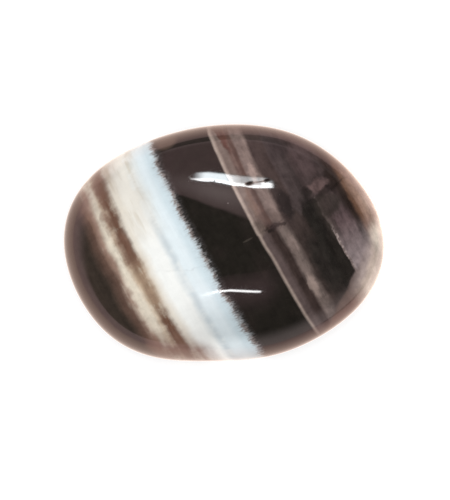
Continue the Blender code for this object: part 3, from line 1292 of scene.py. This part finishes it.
def beside_mark(u, v, middle, reach, turn):
    """0 inside a mark and 1 outside it: a step of hypot(a, b), which are the distances along
    and across the tilted mark, each divided by its reach."""
    x, y = (u - middle[0]) * GLINT_LENGTH, (v - middle[1]) * GLINT_HEIGHT
    a = (x * math.cos(turn) + y * math.sin(turn)) / reach[0]
    b = (y * math.cos(turn) - x * math.sin(turn)) / reach[1]
    return step(np.hypot(a, b), *MARK_SIDE)


print("the upper glint has", len(MARKS), "marks")

# %% The light of the upper glint
FOOT = (0.0, 0.05)
LINE_LIGHT, LINE_TOP, LINE_END = 17.0, (0.34, 0.14), (0.955, 0.925)
BLOCK_START, BLOCK_END, BLOCK_TOP = (0.80, 0.84), (0.96, 0.92), (0.56, 0.46)
TIP, TIP_LIGHT = (0.0, 0.10), 0.5
BODY_LIGHT, BODY_LOSS, BODY_DIMS = 20.0, 12.5, (0.40, 0.60)
BODY_START, BODY_END, BODY_TOP = (0.02, 0.20), (0.97, 0.90), (1.0, 0.74)
COOL, WHITE = (0.92, 1.0, 1.04), (1.0, 1.0, 1.0)
TUBE_COVERS = (0.15, 0.35)


def tube_glow(u, v):
    """The larger of the line and the block at its right end, plus the body, each a product
    of steps, times every mark's share."""
    line = step(v, *LINE_TOP) * step(v, *FOOT) * step(u, *LINE_END)
    block = step(u, *BLOCK_START) * step(u, *BLOCK_END) * step(v, *BLOCK_TOP) * step(v, *FOOT)
    body = step(v, *BODY_TOP) * (BODY_LIGHT - BODY_LOSS * step(u, *BODY_DIMS))
    cool = tinted(body * step(u, *BODY_START) * step(u, *BODY_END), COOL)
    tip = TIP_LIGHT + (1 - TIP_LIGHT) * step(u, *TIP)
    white = tinted(LINE_LIGHT * np.maximum(line, block) * tip, WHITE)
    clear = np.ones_like(u * v)
    for mark in MARKS:
        clear = clear * beside_mark(u, v, *mark)
    return (cool + white) * clear[..., None], step(u, *TUBE_COVERS) * np.ones_like(v)


print("the body loses", BODY_LOSS, "of its", BODY_LIGHT, "to the right")

# %% The upper glint
TUBE_LOW = (
    (187.3, 177.4), (189, 180.4), (199, 181.8), (212, 182.4), (224, 184.6), (232, 186.8),
    (244, 188.0), (253, 190.0), (264, 190.2), (274, 189.9), (278, 185.2),
)
TUBE_HIGH = (
    (187.3, 176.2), (194, 172.7), (207, 172.2), (224, 174.0), (231, 175.2), (239, 176.2),
    (252, 177.4), (260, 177.6), (269, 179.4), (273, 181.7), (278, 184.7),
)

lamp_card("tube_glow", TUBE_LOW, TUBE_HIGH, tube_glow, LAMP_REACH)

# %% [markdown]
# ## The lower glint
# Further down, a second lamp shows as one thin line. It fades in from the left, slowly at
# first, and ends at once on the right. It is the same kind of card, so all that changes is the
# formula for its light and the two edges.

# %% The lower glint
FAR_LIGHT, LOW_SIDE, HIGH_SIDE = 24.0, (0.0, 0.35), (1.0, 0.65)
FAINT_SHARE, FAINT_START = 0.3, (0.0, 0.1)
FULL_SHARE, FULL_START = 0.7, (0.1, 0.45)
FAR_LOW = (
    (196, 297.6), (208.7, 294.7), (218, 293.0), (231, 291.7), (246, 291.7), (260, 291.7),
)
FAR_HIGH = (
    (196, 296.2), (208.7, 292.0), (218, 289.9), (231, 288.7), (246, 288.7), (260, 289.2),
)


def far_tube_glow(u, v):
    """A line across v, times two steps of u that add up to one."""
    across_line = step(v, *LOW_SIDE) * step(v, *HIGH_SIDE)
    along_line = FAINT_SHARE * step(u, *FAINT_START) + FULL_SHARE * step(u, *FULL_START)
    light = FAR_LIGHT * along_line * across_line
    return tinted(light, WHITE), np.zeros_like(light)


lamp_card("far_tube_glow", FAR_LOW, FAR_HIGH, far_tube_glow, LAMP_REACH)

# %% [markdown]
# ## Haze round the glints
# Behind the lamps the dome mirrors dim mauve walls, which lift the black a little round both
# glints. The upper one is brightest just under its glint, and both are soft at their ends.
# They are cards too, only further away, so that the lamps stand before them.

# %% The upper haze
HAZE_LIGHT, HAZE_LOSS, HAZE_TINT = 0.95, 0.25, (0.82, 0.50, 0.52)
HAZE_START, HAZE_END = (0.0, 0.12), (0.92, 0.50)
UNDER_LIGHT, UNDER_TINT = 1.1, (1.0, 0.86, 0.84)
UNDER_V, UNDER_U = (0.25, 0.16), (0.38, 0.22)
HAZE_LOW = (
    (150, 184), (165, 190), (180, 196.5), (214, 208), (250, 221), (275, 231), (300, 232),
    (330, 225),
)
HAZE_HIGH = (
    (145, 160), (160, 152), (180, 146), (214, 141), (250, 139), (285, 141), (310, 150),
    (335, 165),
)


def haze(u, v):
    """A wall that dims upwards, plus a bell in u and v under the glint, each in its tint."""
    ends = step(u, *HAZE_START) * step(u, *HAZE_END)
    wall_light = ends * step(v, *FOOT) * (HAZE_LIGHT - HAZE_LOSS * v)
    under = UNDER_LIGHT * (bell(v, *UNDER_V) * bell(u, *UNDER_U)) * step(v, *FOOT)
    return tinted(wall_light, HAZE_TINT) + tinted(under, UNDER_TINT), np.zeros_like(wall_light)


lamp_card("upper_haze", HAZE_LOW, HAZE_HIGH, haze, HAZE_REACH)

# %% The lower haze
ROUND_V, ROUND_TINT = (0.66, 0.30), (0.55, 0.32, 0.36)
ROUND_START, ROUND_END = (0.0, 0.25), (1.0, 0.72)
ROUND_LOW = ((178, 322), (205, 327), (235, 327), (265, 320), (290, 308))
ROUND_HIGH = ((178, 282), (205, 278), (235, 274), (265, 270), (290, 266))


def low_haze(u, v):
    """A bell in v, with a step of u at either end."""
    around = bell(v, *ROUND_V) * step(u, *ROUND_START) * step(u, *ROUND_END)
    return tinted(around, ROUND_TINT), np.zeros_like(around)


lamp_card("lower_haze", ROUND_LOW, ROUND_HIGH, low_haze, HAZE_REACH)

# %% [markdown]
# ## What the shoulder mirrors
# Below the crest, the dome mirrors a warm table, then its dark surroundings, and over them a
# pale wall on one side and a dim one on the other. The floor that we see is plain white, so
# sheets that only mirrors see stand in for all of these: a disc on the floor, two parts of a
# drum round the stone, and a dark dome over it. First comes the table. It is round, but the
# stone lies off its middle and one side has a soft corner. Its light is a row of rings from
# the stone outwards, a side is brighter, and on another side its edge is less sharp.

# %% The table's edge and light
TABLE_LIFT = 0.005 * MM  # over the floor and under the stone
TABLE_MIDDLE, TABLE_RADIUS = (-16 * MM, -8 * MM), 36 * MM
CORNER, CORNER_AT, CORNER_WIDTH = 7 * MM, math.radians(48), math.radians(15)
BRIGHTER, BRIGHT_SIDE, BRIGHT_WIDTH = 0.58, math.radians(8), math.radians(28)
SOFTER, SOFT_SIDE, SOFT_WIDTH = 0.36, math.radians(165), math.radians(30)
NEAR_EDGE = 0.1  # rings this near the table's edge are moved apart on the soft side

# A share of the way from the stone's outline to the table's edge, and the light there
TABLE_GLOW = (
    (-0.4, (1.70, 1.42, 1.26)),
    (0.00, (1.70, 1.42, 1.26)),
    (0.12, (1.60, 1.22, 1.06)),
    (0.45, (1.30, 0.90, 0.82)),
    (0.96, (0.92, 0.63, 0.62)),
    (1.04, (0.26, 0.20, 0.20)),
    (2.00, (0.22, 0.17, 0.17)),
    (99.0, (0.22, 0.17, 0.17)),
)


def table_edge(bearing):
    """How far the table reaches from the stone: the far root of a circle's equation,
    r = c.d + sqrt((c.d)^2 - c.c + R^2), for its middle c and each direction d, plus a bell
    for the corner."""
    forward = TABLE_MIDDLE[0] * np.cos(bearing) + TABLE_MIDDLE[1] * np.sin(bearing)
    reach = forward + np.sqrt(forward**2 - math.hypot(*TABLE_MIDDLE) ** 2 + TABLE_RADIUS**2)
    return reach + CORNER * bell(bearing, CORNER_AT, CORNER_WIDTH)


print("the table's light is given at", len(TABLE_GLOW), "rings")

# %% The warm table
bearing = np.linspace(-math.pi, math.pi, CARD_COLUMNS)[None, :]
outline = np.hypot(*place(bearing, 1.0))
softer = SOFTER * bell(np.abs(bearing), SOFT_SIDE, SOFT_WIDTH)
rings = np.array([ring for ring, _ in TABLE_GLOW])[:, None]
rings = rings + np.sign(rings - 1) * (np.abs(rings - 1) < NEAR_EDGE) * softer
radius = outline + rings * (table_edge(bearing) - outline)
table_x, table_y = radius * np.cos(bearing), radius * np.sin(bearing)
table = np.stack([table_x, table_y, np.full(radius.shape, -TABLE_LIFT)], axis=-1)
brighter = 1 + BRIGHTER * bell(bearing, BRIGHT_SIDE, BRIGHT_WIDTH)
glow = np.array([light for _, light in TABLE_GLOW])[:, None] * brighter[..., None]
glowing_sheet("warm_table", table, glow, np.ones(radius.shape))

# %% [markdown]
# ## Two walls
# Where the shoulder slopes by half a right angle, it mirrors level rays, so it shows what stands
# beside the stone. On one side a pale wall lightens the rim. On the other a dim wall sinks and
# sharpens from one end to the other. Both are parts of one upright drum. A wall's light fades
# towards its top and its ends, and where it fades it also hides less of what is behind it.

# %% Two walls
WALL_DISTANCE = 30 * MM
WALL_CHANGES = (0.15, 0.60)  # where along a wall its heights change

# Each wall: its name and its bearings in degrees, its top and the soft height below it at
# either end, its light, and the share of its length that fades at either end
PALE, DIM = (1.0, 0.82, 0.80), (1.0, 0.69, 0.72)
WALLS = (
    ("pale_wall", (-95, 12), (14 * MM, 14 * MM), (10 * MM, 10 * MM), PALE, (0.2, 0.15)),
    ("dim_wall", (140, 275), (15 * MM, 5.6 * MM), (13 * MM, 0.5 * MM), DIM, (0.1, 0.2)),
)


def wall(name, bearings, tops, softs, light, ends):
    """Part of a drum: (R cos, R sin, height), whose light and cover are the product of three
    steps, one below its top and one at either end."""
    bearing = np.linspace(*np.radians(bearings), CARD_COLUMNS)[None, :]
    u = np.linspace(0, 1, CARD_COLUMNS)[None, :]
    top, soft = (first + (last - first) * step(u, *WALL_CHANGES) for first, last in (tops, softs))
    rise = np.linspace(0, 1, CARD_ROWS)[:, None] * top
    x, y = WALL_DISTANCE * np.cos(bearing), WALL_DISTANCE * np.sin(bearing)
    drum = np.stack(np.broadcast_arrays(x, y, rise), axis=-1)
    fading = step(rise, top, top - soft) * step(u, 0.0, ends[0]) * step(u, 1.0, 1 - ends[1])
    glowing_sheet(name, drum, tinted(fading, light), fading)


for row in WALLS:
    wall(*row)

# %% [markdown]
# ## A dark room
# Over all of this the dome mirrors a dark room, which is what keeps the black layers black. It
# is a dome that glows faintly near the ground and hardly at all above. Its rings are close
# together low down, where the light changes, and far apart above.

# %% A dark room over it
ROOM_RADIUS = 1300 * MM
ROOM_LOW, ROOM_HIGH, ROOM_TINT = 0.30, 0.05, (1.0, 0.86, 0.86)
ROOM_DIMS_AT = (math.radians(1), math.radians(7))
ROOM_RINGS = (0, 1, 2, 3, 4, 5, 6, 7, 10, 20, 30, 45, 60, 75, 90)  # degrees up

bearing = np.linspace(0, 2 * math.pi, CARD_COLUMNS)[None, :]
elevation = np.radians(ROOM_RINGS)[:, None]
room_x, room_y = np.cos(bearing) * np.cos(elevation), np.sin(bearing) * np.cos(elevation)
room_z = np.sin(elevation) * np.ones_like(bearing)
room = ROOM_RADIUS * np.stack([room_x, room_y, room_z], axis=-1)
dims = ROOM_LOW + (ROOM_HIGH - ROOM_LOW) * step(elevation, *ROOM_DIMS_AT)
dims = dims * np.ones_like(bearing)
glowing_sheet("dark_room", room, tinted(dims, ROOM_TINT), np.ones_like(dims))

# %% [markdown]
# ## The studio's light
# What lights the stone is not what it mirrors. A pale sky, brightest near the ground, lights
# it from all round, and a large soft sun from above shows its colours. The sky's strength is a
# soft step of how high we look, which is the z of the view's direction. The sun is kept out of
# mirrors, because its disc would show in the dome as one more glint.

# %% The sky of the studio
HORIZON_LIGHT, OVERHEAD_LIGHT = 0.85, 0.14
PALE_BELOW, DIM_ABOVE = math.radians(4), math.radians(24)
SKY_FALL = (math.sin(PALE_BELOW), math.sin(DIM_ABOVE), HORIZON_LIGHT, OVERHEAD_LIGHT)

world = bpy.data.worlds.new("studio")
bpy.context.scene.world = world
world.use_nodes = True
sky = world.node_tree.nodes
sky.clear()
look = sky.new("ShaderNodeTexCoord")
parts = sky.new("ShaderNodeSeparateXYZ")
fall = sky.new("ShaderNodeMapRange")
fall.interpolation_type = "SMOOTHSTEP"
for socket, value in zip(("From Min", "From Max", "To Min", "To Max"), SKY_FALL):
    fall.inputs[socket].default_value = value
back = sky.new("ShaderNodeBackground")
end = sky.new("ShaderNodeOutputWorld")
wire = world.node_tree.links.new
wire(look.outputs["Generated"], parts.inputs[0])
wire(parts.outputs["Z"], fall.inputs["Value"])
wire(fall.outputs[0], back.inputs["Strength"])
wire(back.outputs[0], end.inputs["Surface"])
print("the sky falls from", HORIZON_LIGHT, "at the horizon to", OVERHEAD_LIGHT, "overhead")

# %% A soft sun
SUN_LIGHT, SUN_SIZE = 3.0, math.radians(80)
SUN_TILT = (math.radians(-4), math.radians(-4), 0)

sun = bpy.data.objects.new("soft_key", bpy.data.lights.new("soft_key", "SUN"))
bpy.context.scene.collection.objects.link(sun)
sun.data.energy = SUN_LIGHT
sun.data.angle = SUN_SIZE
sun.rotation_euler = SUN_TILT
sun.visible_glossy = False
print("the sun is", round(math.degrees(SUN_SIZE)), "degrees wide")

# %% [markdown]
# ## The floor
# The stone lies on a plain white table. Lit by sky and sun alone it would be grey, so it glows a
# little too. It has no shine, and it lies a hair below the stone's back, so that the two don't
# fight for the same place. It isn't part of the stone.

# %% The floor
FLOOR_HALF = 1.2
FLOOR_DROP = 0.01 * MM  # clear of the stone's back
MATT_WHITE = {
    "Base Color": (0.40, 0.40, 0.40, 1.0),
    "Roughness": 0.9,
    "Specular IOR Level": 0.0,
    "Emission Color": (1.0, 1.0, 1.0, 1.0),
    "Emission Strength": 0.68,
}

floor_mesh = bpy.data.meshes.new("table_top")
corner = np.array([(-1, -1), (1, -1), (1, 1), (-1, 1)]) * FLOOR_HALF
floor_mesh.from_pydata([(x, y, -FLOOR_DROP) for x, y in corner.tolist()], [], [(0, 1, 2, 3)])
floor = bpy.data.objects.new("table_top", floor_mesh)
bpy.context.scene.collection.objects.link(floor)
white_table = Recipe("white_table")
matt = white_table.node("ShaderNodeBsdfPrincipled")
for socket, value in MATT_WHITE.items():
    white_table.feed(matt.inputs[socket], value)
white_table.show(matt.outputs[0])
white_table.material.cycles.emission_sampling = "NONE"
floor_mesh.materials.append(white_table.material)
print("the floor is", 2 * FLOOR_HALF, "m wide")

# %% [markdown]
# ## Inside the solid
# The dressed stone's surface was only ever worn away from the solid, so it lies inside the solid
# on every side.
